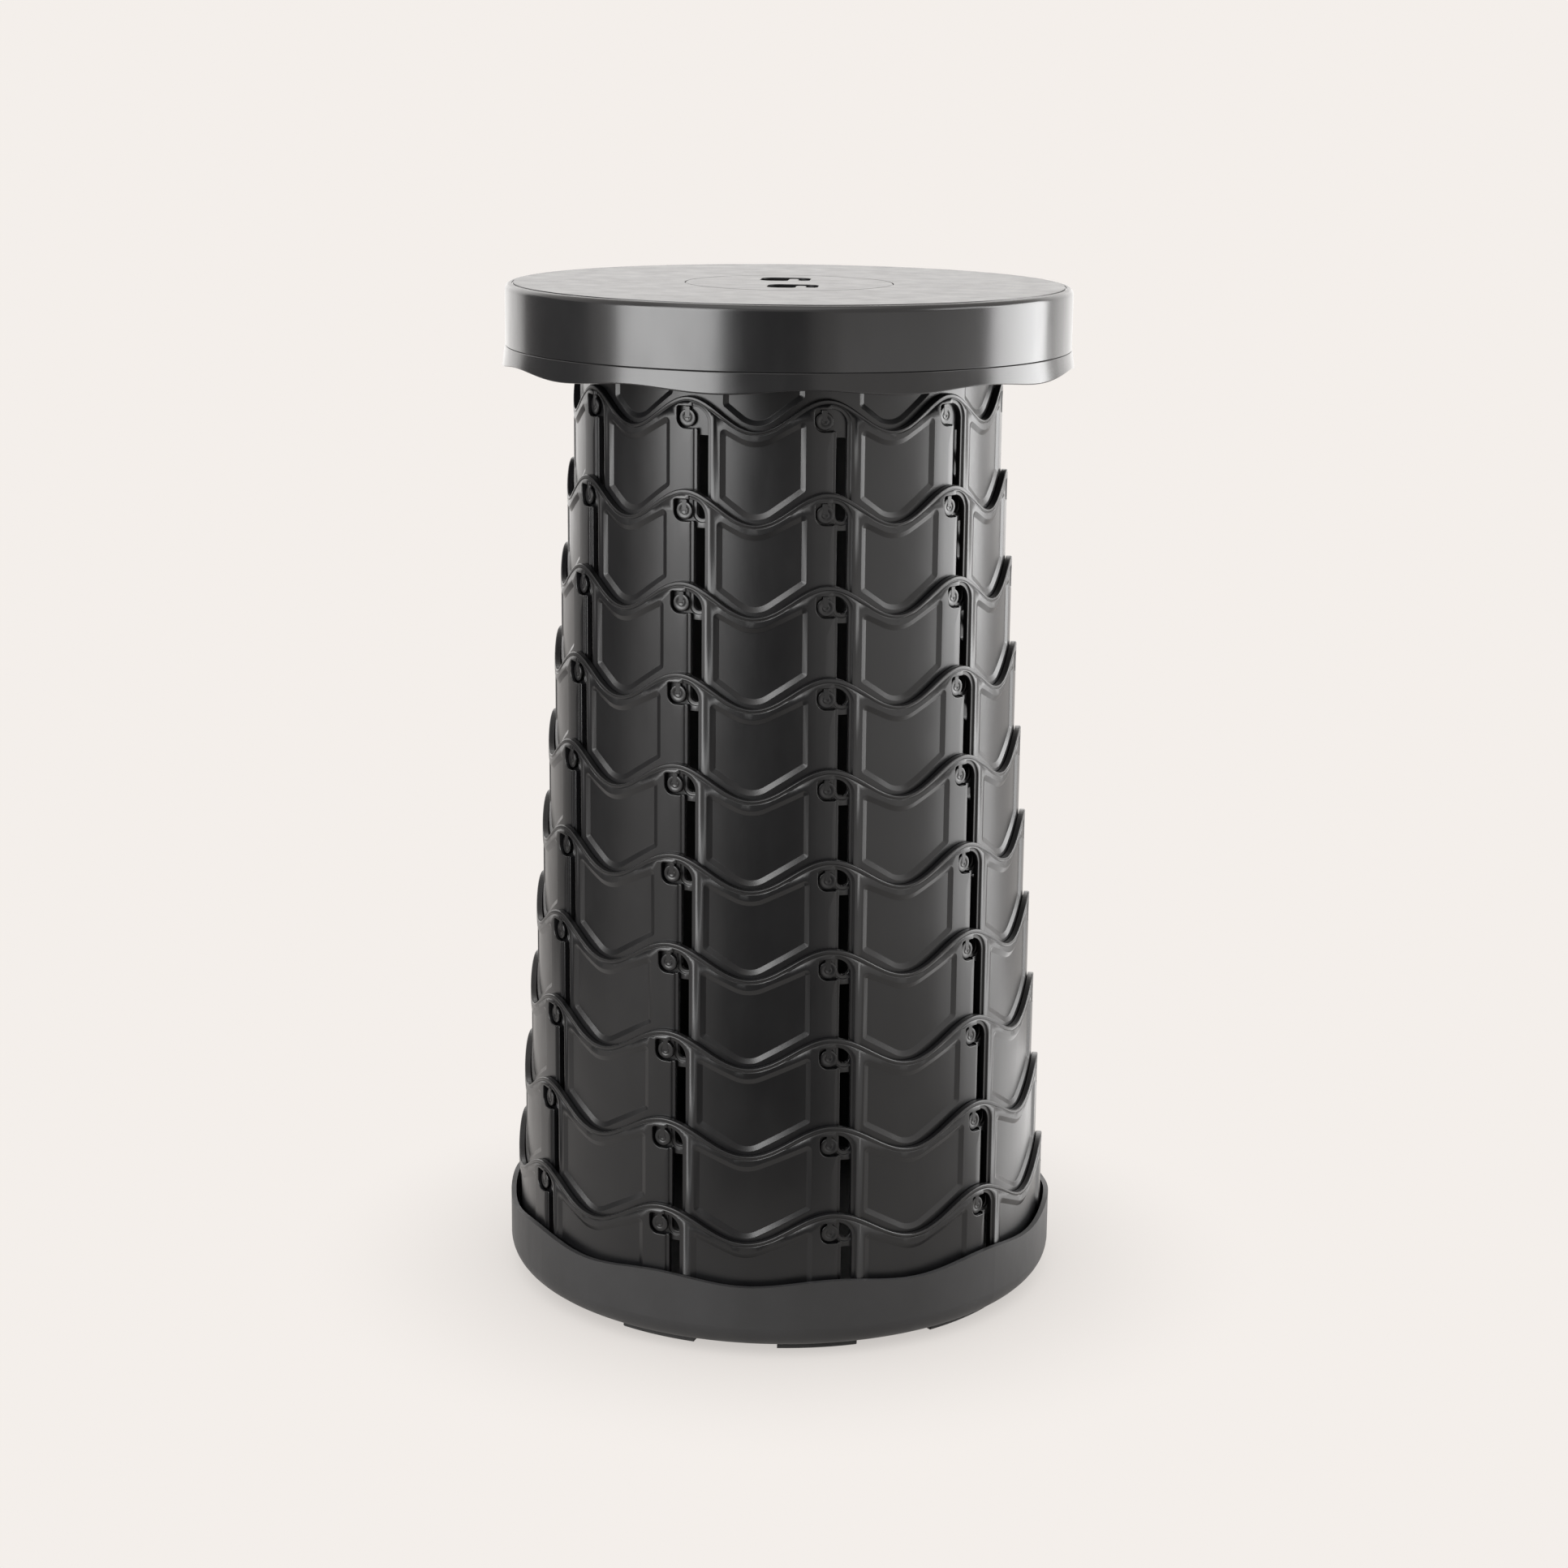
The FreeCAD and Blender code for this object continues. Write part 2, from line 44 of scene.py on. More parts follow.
# Rings, in millimetres until the mesh is made. u runs along the outside from the middle of a
# slot, w is the height above the row of pins that hangs in the ring.
COLUMNS = 10
LAST_RING = 10
RING_SPACING = 38.4
FIRST_RADIUS = 91.4
RING_STEP = 3.0
RING_WALL = 2.5
LOWEST_PINS = 54.6
SEAT_UNDERSIDE = 447.8
PIN_TO_PEAK = 9.2
WAVE_DEPTH = 13.5
PEAK_OFFSET = -6.4
PIN_TO_BOTTOM = 6.9
PIN_OFFSET = -7.4
SECTOR_EDGE = 5.9

# Hooked slot: a long leg, an arch over the pin and a pocket that the pin rests in
SLOT_WIDTH = 4.8
SLOT_BELOW_PINS = 3.2
ARCH_HEIGHT = 5.0
ARCH_RADIUS = 7.0
POCKET_WIDTH = 8.8
POCKET_FLOOR = -4.35
POCKET_ROUND = 4.2
POCKET_TOP_ROUND = 1.2
LIP_WIDTH = 2.4
LIP_RISE = 0.6
LIP_ROUND = 0.8
END_ROUND = 0.99

# Stepped ledge around the slot
TRACK_LEDGE = 1.5
TRACK_DEPTH = 0.9
TRACK_ARCH_CUT = 0.1
TRACK_SHARP = 0.05

# Inside of a ring: the channel that the pins pass and a low bead along the slot
CHANNEL_HALF = 4.2
CHANNEL_DEPTH = 1.5
CHANNEL_EDGE = 0.1
CHANNEL_TOP = 3.0
BEAD_HEIGHT = 0.4
BEAD_WIDTH = 0.7
BEAD_EDGE = 0.2

# Recessed panel between two slots
PANEL_DEPTH = 1.0
PANEL_BEVEL = 2.5
BEVEL_END = 0.12
PANEL_ROUND = 2.0
PANEL_LOW_VEE_ROUND = 12.0
PANEL_HIGH_VEE_ROUND = 14.0
PANEL_AFTER_SLOT = 7.9
PANEL_BEFORE_SLOT = 15.0
PANEL_TOP_DROP = 5.3
PANEL_VALLEY_DROP = 4.6
PANEL_BOTTOM_RISE = 3.0
PANEL_VALLEY_RISE = 0.9

# Rounded edges, and the fine groove along the wavy edge
EDGE_ROUND = 0.6
HOLE_ROUND = 0.3
STEP_ROUND = 0.35
EDGE_SLOPE = 4.0
GROOVE_DROP = 1.65
GROOVE_HALF = 0.35
GROOVE_DEPTH = 0.3

# Pins. The dimple and the groove are (radius, depth) pairs of a pin's face.
PIN_RADIUS = 3.8
PIN_STAND = 1.7
PIN_HEAD = 1.0
PIN_NECK = 2.2
PIN_ROOT = 0.4
PIN_EDGE = 0.35
PIN_CHAMFER = 0.1
PIN_DIMPLE = [(0.0, 0.12), (0.8, 0.12), (1.0, 0.0)]
PIN_GROOVE = [(1.5, 0.0), (1.62, 0.1), (1.78, 0.1), (1.9, 0.0)]
PIN_SPOKES = 28
TAB_WIDTH = 2.4
TAB_RISE = 1.0
TAB_EDGE = 0.25
TAB_ROUND = 0.5
TAB_PROUD = 0.12

# Fineness of the meshes, in millimetres and radians
LONGEST_STEP = 3.0
ARC_STEP = 0.7
ARC_TURN = 0.12
LEAST_ARC_RADIUS = 0.6
LEAST_ROUND = 0.25
SAME_POINT = 1e-4
WAVE_STEPS = 40
WAVE_SPILL = 4.0
WAVE_LINES = [0.12, 0.35, EDGE_ROUND, GROOVE_DROP - GROOVE_HALF, GROOVE_DROP,
              GROOVE_DROP + GROOVE_HALF]
HOLE_LINES = (0.35, 1.0)
TRACK_LINES = (-0.5, 0.0, 0.5)
LEVEL_POINTS = 24
GRID_LEFT = 1.5
GRID_RIGHT = 1.0
GRID_LOW = 5.0
GRID_ACROSS = 3.0
GRID_UP = 9.0
OUTSIDE_ROOM = 0.8
INSIDE_ROOM = 1.5
SLOPE_STEP = 0.02
SEAT_SPOKES = 200
RIM_SPOKES = 240

# Seat
SEAT_TOP = 450.0
CAP_RADIUS = 45.4
CAP_GAP = 0.3
CAP_DEPTH = 2.2
LEDGE_INNER = 40.4
LEDGE_OUTER = 48.1
LEDGE_LOW = 445.4
BAND_INNER = 73.6
BAND_OUTER = 88.6
BAND_LOW = 438.8
SKIRT_INNER = 121.9
SKIRT_OUTER = 123.9
BORDER_LOW = 449.7
BORDER_ROUND = 2.7
BORDER_GROOVE = 0.45
GROOVE_SIDE = 0.15
GROOVE_FLARE = 0.1
GROOVE_ROUND = 0.05
RIM_TOP = 423.0
RIM_EDGE = 415.0
RIM_STEP = 0.2
RIM_WALL = 2.2
MOUTH = 125.2
RIM_WAVE = 2.2
RIM_PHASE = -9.5
SEAM_ROUND = 0.45
STEP_CORNER = 0.2
FINE_CORNER = 0.1
SHELL_CORNER = 0.5
MOUTH_CORNER = 0.6

# Finishes. Noise scales are per metre, relief is in metres.
NOISE_LOW = 0.3
NOISE_HIGH = 0.7
SLOW_SCALE = 35.0
PATCH_SCALE = 90.0
PATCH_STRETCH = (1, 1, 0.35)
TOP_RING_PITCH = 1.6
TOP_GRAIN = 1500.0
TOP_RELIEF = 0.00002
TOP_BLEND_LOW = 1.0
TOP_BLEND_HIGH = 0.2
TOP_ROUGHNESS = (0.31, 0.37)
SKIRT_ROUGHNESS = (0.19, 0.24)
WAVE_TEXTURE_FACTOR = 20

# Studio, in metres and degrees
BACKGROUND = (0.905, 0.863, 0.829)
WORLD_LIGHT = 0.20
FLOOR_COLOUR = (0.28, 0.27, 0.26)
FLOOR_HALF = 6.0
# Dark sheets that show only in reflections and glow faintly in the background colour: painted dark
# reflections
SHEET_STEPS = 12
REFLECTION_SHEET_GLOW = 0.22
SHEET_LIFT = 0.0005
SHEET_END = (1.5, SHEET_LIFT)
SHEET_TOP = (1.6, 1.0)
SHADOW_REACH = 0.10
SHADOW_TONE = 0.60


def node_tree(name):
    """A new material, its tree, and the shader that is linked to its output."""
    material = bpy.data.materials.new(name)
    material.use_nodes = True
    tree = material.node_tree
    tree.nodes.clear()
    output = tree.nodes.new("ShaderNodeOutputMaterial")
    shader = tree.nodes.new("ShaderNodeBsdfPrincipled")
    tree.links.new(shader.outputs["BSDF"], output.inputs["Surface"])
    return material, tree, shader


def noise(tree, scale, detail=2.0, roughness=0.5, stretch=(1, 1, 1)):
    """Noise in the object's own metres."""
    where = tree.nodes.new("ShaderNodeTexCoord")
    mapping = tree.nodes.new("ShaderNodeMapping")
    mapping.inputs["Scale"].default_value = stretch
    texture = tree.nodes.new("ShaderNodeTexNoise")
    texture.inputs["Scale"].default_value = scale
    texture.inputs["Detail"].default_value = detail
    texture.inputs["Roughness"].default_value = roughness
    tree.links.new(where.outputs["Object"], mapping.inputs["Vector"])
    tree.links.new(mapping.outputs["Vector"], texture.inputs["Vector"])
    return texture.outputs["Fac"]


def ramp(tree, factor, low, high):
    """A factor from 0 to 1 turned into a value between two others."""
    span = tree.nodes.new("ShaderNodeMapRange")
    span.inputs["From Min"].default_value = NOISE_LOW
    span.inputs["From Max"].default_value = NOISE_HIGH
    span.inputs["To Min"].default_value = low
    span.inputs["To Max"].default_value = high
    tree.links.new(factor, span.inputs["Value"])
    return span.outputs["Result"]


def tint(tree, factor, dark, light):
    """A factor turned into a colour between two others."""
    mix = tree.nodes.new("ShaderNodeMix")
    mix.data_type = "RGBA"
    mix.inputs["A"].default_value = (*dark, 1.0)
    mix.inputs["B"].default_value = (*light, 1.0)
    tree.links.new(ramp(tree, factor, 0.0, 1.0), mix.inputs["Factor"])
    return mix.outputs["Result"]


def bump(tree, shader, height, distance):
    """Bump of a height in metres."""
    node = tree.nodes.new("ShaderNodeBump")
    node.inputs["Strength"].default_value = 1.0
    node.inputs["Distance"].default_value = distance
    tree.links.new(height, node.inputs["Height"])
    tree.links.new(node.outputs["Normal"], shader.inputs["Normal"])


def plastic(name, dark, light, roughness, grain, relief, level=0.5):
    """Moulded plastic: slow changes of colour and gloss, and a fine grain."""
    material, tree, shader = node_tree(name)
    slow = noise(tree, SLOW_SCALE, 3.0)
    tree.links.new(tint(tree, slow, dark, light), shader.inputs["Base Color"])
    patches = noise(tree, PATCH_SCALE, 4.0, 0.6, PATCH_STRETCH)
    tree.links.new(ramp(tree, patches, *roughness), shader.inputs["Roughness"])
    bump(tree, shader, noise(tree, grain, 2.0, 0.6), relief)
    shader.inputs["Specular IOR Level"].default_value = level
    return material


def seat_surface(name, dark, light, level):
    """Glossy skirt, and a matter top with a fine grain and fine rings around its middle."""
    material, tree, shader = node_tree(name)
    slow = noise(tree, SLOW_SCALE, 3.0)
    tree.links.new(tint(tree, slow, dark, light), shader.inputs["Base Color"])
    where = tree.nodes.new("ShaderNodeTexCoord")
    split = tree.nodes.new("ShaderNodeSeparateXYZ")
    tree.links.new(where.outputs["Object"], split.inputs["Vector"])
    top = tree.nodes.new("ShaderNodeMapRange")
    top.inputs["From Min"].default_value = (SEAT_TOP - TOP_BLEND_LOW) * MM
    top.inputs["From Max"].default_value = (SEAT_TOP - TOP_BLEND_HIGH) * MM
    tree.links.new(split.outputs["Z"], top.inputs["Value"])
    patches = noise(tree, PATCH_SCALE, 4.0, 0.6, PATCH_STRETCH)
    gloss = tree.nodes.new("ShaderNodeMix")
    tree.links.new(top.outputs["Result"], gloss.inputs["Factor"])
    tree.links.new(ramp(tree, patches, *SKIRT_ROUGHNESS), gloss.inputs["A"])
    tree.links.new(ramp(tree, patches, *TOP_ROUGHNESS), gloss.inputs["B"])
    tree.links.new(gloss.outputs["Result"], shader.inputs["Roughness"])
    rings = tree.nodes.new("ShaderNodeTexWave")
    rings.wave_type = "RINGS"
    rings.rings_direction = "Z"
    pitch = TOP_RING_PITCH * MM
    rings.inputs["Scale"].default_value = 2 * math.pi / (WAVE_TEXTURE_FACTOR * pitch)
    rings.inputs["Distortion"].default_value = 0.0
    tree.links.new(where.outputs["Object"], rings.inputs["Vector"])
    both = tree.nodes.new("ShaderNodeMath")
    both.operation = "ADD"
    tree.links.new(rings.outputs["Fac"], both.inputs[0])
    tree.links.new(noise(tree, TOP_GRAIN, 2.0, 0.6), both.inputs[1])
    masked = tree.nodes.new("ShaderNodeMath")
    masked.operation = "MULTIPLY"
    tree.links.new(both.outputs["Value"], masked.inputs[0])
    tree.links.new(top.outputs["Result"], masked.inputs[1])
    bump(tree, shader, masked.outputs["Value"], TOP_RELIEF)
    shader.inputs["Specular IOR Level"].default_value = level
    return material


def dress(node, material):
    """Gives a CAD node one material."""
    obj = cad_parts[node]
    obj.data.materials.clear()
    obj.data.materials.append(material)


def make_camera():
    """The photograph's camera."""
    data = bpy.data.cameras.new("camera")
    camera = bpy.data.objects.new("camera", data)
    bpy.context.collection.objects.link(camera)
    data.sensor_width = SENSOR
    data.lens = SENSOR * FOCAL_PIXELS / FRAME_PIXELS
    data.clip_start = CLIP_NEAR
    data.clip_end = CLIP_FAR
    sin, cos = math.sin(CAMERA_AZIMUTH), math.cos(CAMERA_AZIMUTH)
    level = Vector((-sin, cos, 0.0))
    forward = level * math.cos(CAMERA_PITCH) + Vector((0, 0, -math.sin(CAMERA_PITCH)))
    side = Vector((cos, sin, 0.0))
    top = side.cross(forward)
    right = side * math.cos(CAMERA_ROLL) + top * math.sin(CAMERA_ROLL)
    up = top * math.cos(CAMERA_ROLL) - side * math.sin(CAMERA_ROLL)
    turn = Matrix((right, up, -forward)).transposed()
    place = Vector((sin * CAMERA_DISTANCE, -cos * CAMERA_DISTANCE, CAMERA_HEIGHT))
    camera.matrix_world = Matrix.Translation(place) @ turn.to_4x4()
    bpy.context.scene.camera = camera


def area_light(name, azimuth, elevation, distance, size, power, target):
    """A soft rectangular lamp that looks at a target. Azimuth 0 is the camera's side."""
    data = bpy.data.lights.new(name, "AREA")
    data.shape = "RECTANGLE"
    data.size, data.size_y = size
    data.energy = power
    lamp = bpy.data.objects.new(name, data)
    bpy.context.collection.objects.link(lamp)
    a, e = math.radians(azimuth), math.radians(elevation)
    away = Vector((math.sin(a) * math.cos(e), -math.cos(a) * math.cos(e), math.sin(e)))
    lamp.location = Vector(target) + away * distance
    lamp.rotation_mode = "QUATERNION"
    lamp.rotation_quaternion = (-away).to_track_quat("-Z", "Y")
    lamp.visible_camera = False
    return lamp


def seen_rays(tree):
    """1 for rays that show the background: the camera's, reflected and transmitted ones."""
    path = tree.nodes.new("ShaderNodeLightPath")
    shown = path.outputs["Is Camera Ray"]
    for kind in ("Is Glossy Ray", "Is Transmission Ray"):
        either = tree.nodes.new("ShaderNodeMath")
        either.operation = "MAXIMUM"
        tree.links.new(shown, either.inputs[0])
        tree.links.new(path.outputs[kind], either.inputs[1])
        shown = either.outputs["Value"]
    return shown


def make_world():
    """Pale to the camera and in reflections, and a plain soft light elsewhere."""
    world = bpy.data.worlds.new("studio")
    bpy.context.scene.world = world
    world.use_nodes = True
    tree = world.node_tree
    tree.nodes.clear()
    output = tree.nodes.new("ShaderNodeOutputWorld")
    seen = tree.nodes.new("ShaderNodeBackground")
    seen.inputs["Color"].default_value = (*BACKGROUND, 1.0)
    seen.inputs["Strength"].default_value = 1.0
    light = tree.nodes.new("ShaderNodeBackground")
    light.inputs["Color"].default_value = (1.0, 1.0, 1.0, 1.0)
    light.inputs["Strength"].default_value = WORLD_LIGHT
    mix = tree.nodes.new("ShaderNodeMixShader")
    tree.links.new(seen_rays(tree), mix.inputs["Fac"])
    tree.links.new(light.outputs["Background"], mix.inputs[1])
    tree.links.new(seen.outputs["Background"], mix.inputs[2])
    tree.links.new(mix.outputs["Shader"], output.inputs["Surface"])


def mesh_object(name, points, faces):
    """A new object with a new mesh, in the scene."""
    mesh = bpy.data.meshes.new(name)
    mesh.from_pydata(points, [], faces)
    obj = bpy.data.objects.new(name, mesh)
    bpy.context.collection.objects.link(obj)
    return obj


def make_floor():
    """Plain pale floor that shows as the background colour and keeps a faint shadow."""
    half = FLOOR_HALF
    corners = [(-half, -half, 0), (half, -half, 0), (half, half, 0), (-half, half, 0)]
    floor = mesh_object("floor", corners, [(0, 1, 2, 3)])
    material, tree, shader = node_tree("floor")
    shader.inputs["Base Color"].default_value = (*FLOOR_COLOUR, 1.0)
    shader.inputs["Roughness"].default_value = 0.9
    shader.inputs["Specular IOR Level"].default_value = 0.1
    glow = tree.nodes.new("ShaderNodeEmission")
    shade = tree.nodes.new("ShaderNodeAmbientOcclusion")
    shade.inputs["Distance"].default_value = SHADOW_REACH
    pale = tree.nodes.new("ShaderNodeMix")
    pale.data_type = "RGBA"
    pale.inputs["A"].default_value = (*(SHADOW_TONE * part for part in BACKGROUND), 1.0)
    pale.inputs["B"].default_value = (*BACKGROUND, 1.0)
    tree.links.new(shade.outputs["AO"], pale.inputs["Factor"])
    tree.links.new(pale.outputs["Result"], glow.inputs["Color"])
    mix = tree.nodes.new("ShaderNodeMixShader")
    output = tree.nodes["Material Output"]
    tree.links.new(seen_rays(tree), mix.inputs["Fac"])
    tree.links.new(shader.outputs["BSDF"], mix.inputs[1])
    tree.links.new(glow.outputs["Emission"], mix.inputs[2])
    tree.links.new(mix.outputs["Shader"], output.inputs["Surface"])
    floor.data.materials.append(material)


def painted_reflection_sheet(name, first, last, profile):
    """A dark sheet between two azimuths whose faint glow paints dark reflections.

    Its profile is a list of (distance, height). It shows in reflections only."""
    points = []
    for i in range(SHEET_STEPS + 1):
        turn = math.radians(first + (last - first) * i / SHEET_STEPS)
        points += [(reach * math.sin(turn), -reach * math.cos(turn), z) for reach, z in profile]
    count = len(profile)
    faces = [(i * count + j, i * count + j + 1, (i + 1) * count + j + 1, (i + 1) * count + j)
             for i in range(SHEET_STEPS) for j in range(count - 1)]
    reflection_sheet = mesh_object(name, points, faces)
    for kind in ("camera", "diffuse", "shadow", "transmission"):
        setattr(reflection_sheet, "visible_" + kind, False)
    material, tree, shader = node_tree(name)
    shader.inputs["Base Color"].default_value = (0.0, 0.0, 0.0, 1.0)
    shader.inputs["Specular IOR Level"].default_value = 0.0
    # Faint glow of the background colour, seen only in reflections: a painted dark reflection
    shader.inputs["Emission Color"].default_value = (*BACKGROUND, 1.0)
    shader.inputs["Emission Strength"].default_value = REFLECTION_SHEET_GLOW
    reflection_sheet.data.materials.append(material)


def rounded_outline(corners, with_normals=False):
    """Points around a closed outline of (u, w, radius) corners that run anticlockwise.

    With normals, long straight sides stay whole, and the outward normals come too."""
    points, normals = [], []
    count = len(corners)
    for i in range(count):
        here = np.array(corners[i][:2])
        back = np.array(corners[i - 1][:2]) - here
        ahead = np.array(corners[(i + 1) % count][:2]) - here
        back, ahead = back / np.linalg.norm(back), ahead / np.linalg.norm(ahead)
        half = math.acos(max(-1.0, min(1.0, float(back @ ahead)))) / 2
        radius = corners[i][2]
        middle = (back + ahead) / np.linalg.norm(back + ahead)
        centre = here + middle * radius / math.sin(half)
        start, end = here + back * radius / math.tan(half), here + ahead * radius / math.tan(half)
        first = math.atan2(*(start - centre)[::-1])
        sweep = math.atan2(*(end - centre)[::-1]) - first
        sweep = (sweep + math.pi) % (2 * math.pi) - math.pi
        steps = max(2, math.ceil(abs(sweep) * max(radius, LEAST_ARC_RADIUS) / ARC_STEP))
        steps = min(steps, max(2, math.ceil(abs(sweep) / ARC_TURN)))
        for j in range(steps + 1):
            turn = first + sweep * j / steps
            away = np.array((math.cos(turn), math.sin(turn)))
            points.append(centre + radius * away)
            normals.append(away if sweep > 0 else -away)
    if with_normals:
        return np.array(points), np.array(normals)
    full = []
    for i, point in enumerate(points):
        following = points[(i + 1) % len(points)]
        gap = np.linalg.norm(following - point)
        if gap < SAME_POINT:
            continue
        full.append(point)
        parts = math.ceil(abs(following[0] - point[0]) / LONGEST_STEP)
        for j in range(1, parts):
            full.append(point + (following - point) * j / parts)
    return np.array(full)


def inset(corners, depth):
    """The corners of an anticlockwise outline moved inwards by a depth."""
    moved = []
    count = len(corners)
    for i in range(count):
        here = np.array(corners[i][:2])
        before = here - np.array(corners[i - 1][:2])
        after = np.array(corners[(i + 1) % count][:2]) - here
        before, after = before / np.linalg.norm(before), after / np.linalg.norm(after)
        left_before = np.array((-before[1], before[0]))
        left_after = np.array((-after[1], after[0]))
        shift = (left_before + left_after) / (1 + float(left_before @ left_after))
        convex = before[0] * after[1] - before[1] * after[0] > 0
        radius = corners[i][2] - depth if convex else corners[i][2] + depth
        moved.append((*(here + shift * depth), max(radius, LEAST_ROUND)))
    return moved


def distance(points, outline, closed=True):
    """Distance of each point from an outline's line."""
    start = outline if closed else outline[:-1]
    end = np.roll(outline, -1, axis=0) if closed else outline[1:]
    along = end - start
    length = (along ** 2).sum(axis=1)
    best = np.full(len(points), np.inf)
    for a, d, square in zip(start, along, length):
        rel = points - a
        t = np.clip((rel @ d) / square, 0.0, 1.0)
        best = np.minimum(best, ((rel - t[:, None] * d) ** 2).sum(axis=1))
    return np.sqrt(best)


def inside(points, outline):
    """Which points lie inside a closed outline."""
    hit = np.zeros(len(points), bool)
    x, y = points[:, 0], points[:, 1]
    for a, b in zip(outline, np.roll(outline, -1, axis=0)):
        if a[1] == b[1]:
            continue
        crosses = (a[1] > y) != (b[1] > y)
        hit ^= crosses & (x < a[0] + (b[0] - a[0]) * (y - a[1]) / (b[1] - a[1]))
    return hit


def shoulder(reach, radius):
    """Drop of a rounded edge at a distance inside it, and a steep slope past the edge."""
    t = np.clip(1.0 - reach / radius, 0.0, 1.0)
    past = np.maximum(-reach, 0.0)
    return radius * (1.0 - np.sqrt(1.0 - t * t)) + EDGE_SLOPE * past


def smooth(t):
    """A soft step from 0 to 1."""
    t = np.clip(t, 0.0, 1.0)
    return t * t * (3.0 - 2.0 * t)


def bevel(t):
    """A straight slope from 0 to 1, rounded off at both ends."""
    t = np.clip(t, 0.0, 1.0)
    near = np.minimum(t, 1.0 - t)
    curved = np.minimum(near, BEVEL_END)
    rise = (curved * curved / (2 * BEVEL_END) + near - curved) / (1.0 - BEVEL_END)
    return np.where(t > 0.5, 1.0 - rise, rise)


class Ring:
    """Outlines and depths of one tenth of a ring. u = 0 is the slot at its right."""

    def __init__(self, number):
        self.number = number
        self.radius = FIRST_RADIUS + number * RING_STEP
        self.inner = self.radius - RING_WALL
        self.pitch = 2 * math.pi * self.radius / COLUMNS
        self.pins = LOWEST_PINS + (LAST_RING - number) * RING_SPACING
        self.low = -RING_SPACING - PIN_TO_BOTTOM
        self.left, self.right = SECTOR_EDGE - self.pitch, SECTOR_EDGE
        half = SLOT_WIDTH / 2
        bottom = -RING_SPACING - SLOT_BELOW_PINS
        pocket = PIN_OFFSET - POCKET_WIDTH / 2
        lip = POCKET_FLOOR + LIP_RISE
        self.hole = [
            (half, ARCH_HEIGHT, ARCH_RADIUS),
            (pocket, ARCH_HEIGHT, POCKET_TOP_ROUND),
            (pocket, POCKET_FLOOR, POCKET_ROUND),
            (-half - LIP_WIDTH, POCKET_FLOOR, LIP_ROUND),
            (-half, lip, LIP_ROUND),
            (-half, bottom, half * END_ROUND),
            (half, bottom, half * END_ROUND),
        ]
        side = half + TRACK_LEDGE
        top = ARCH_HEIGHT + TRACK_LEDGE
        self.track = [
            (side, top, ARCH_RADIUS + TRACK_LEDGE - TRACK_ARCH_CUT),
            (half - ARCH_RADIUS, top, TRACK_SHARP),
            (half - ARCH_RADIUS, lip, TRACK_SHARP),
            (-side, lip, TRACK_SHARP),
            (-side, bottom - TRACK_LEDGE, side * END_ROUND),
            (side, bottom - TRACK_LEDGE, side * END_ROUND),
        ]
        self.panel = self.panel_corners()
        self.hole_line = rounded_outline(self.hole)
        self.track_line = rounded_outline(self.track)
        self.panel_line = rounded_outline(self.panel)
        self.wave_line = self.wave_points(0.0)

    def wave(self, u):
        """Height of the upper edge."""
        phase = COLUMNS * (u - PEAK_OFFSET) / self.radius
        return PIN_TO_PEAK - WAVE_DEPTH / 2 * (1 - np.cos(phase))

    def wave_points(self, drop, spill=0.0):
        """The upper edge moved down by a distance square to it, across the whole tenth."""
        u = np.linspace(self.left - spill, self.right + spill, WAVE_STEPS + 1)
        slope = -WAVE_DEPTH / 2 * COLUMNS / self.radius * np.sin(
            COLUMNS * (u - PEAK_OFFSET) / self.radius)
        return np.column_stack((u, self.wave(u) - drop * np.sqrt(1 + slope ** 2)))

    def panel_corners(self):
        """The recess between two slots, anticlockwise from its lower left."""
        left = PANEL_AFTER_SLOT - self.pitch
        right = -PANEL_BEFORE_SLOT
        valley = PEAK_OFFSET - self.pitch / 2
        middle = (left + right) / 2
        half = (right - left) / 2
        low_side = (self.wave(left) + self.wave(right)) / 2 + PANEL_BOTTOM_RISE - RING_SPACING
        low_valley = self.wave(valley) + PANEL_VALLEY_RISE - RING_SPACING
        low_left = self.wave(left) + PANEL_BOTTOM_RISE - RING_SPACING
        low_right = self.wave(right) + PANEL_BOTTOM_RISE - RING_SPACING

        def vee(height, rise, radius):
            """Corner height at which a rounded vee keeps its lowest point at a height."""
            slope = math.atan2(rise, half)
            return height - radius * (1 / math.cos(slope) - 1)

        low_vee = vee(low_valley, low_side - low_valley, PANEL_LOW_VEE_ROUND)
        corners = [
            (left, low_left, PANEL_ROUND),
            (valley, low_vee, PANEL_LOW_VEE_ROUND),
            (right, low_right, PANEL_ROUND),
        ]
        if self.number == 0:
            top = SEAT_UNDERSIDE - PANEL_BEFORE_SLOT - self.pins
            return corners + [(right, top, PANEL_ROUND), (left, top, PANEL_ROUND)]
        high_left = self.wave(left) - PANEL_TOP_DROP
        high_right = self.wave(right) - PANEL_TOP_DROP
        high_valley = self.wave(valley) - PANEL_VALLEY_DROP
        rise = (high_left + high_right) / 2 - high_valley
        high_vee = vee(high_valley, rise, PANEL_HIGH_VEE_ROUND)
        return corners + [
            (right, high_right, PANEL_ROUND),
            (valley, high_vee, PANEL_HIGH_VEE_ROUND),
            (left, high_left, PANEL_ROUND),
        ]

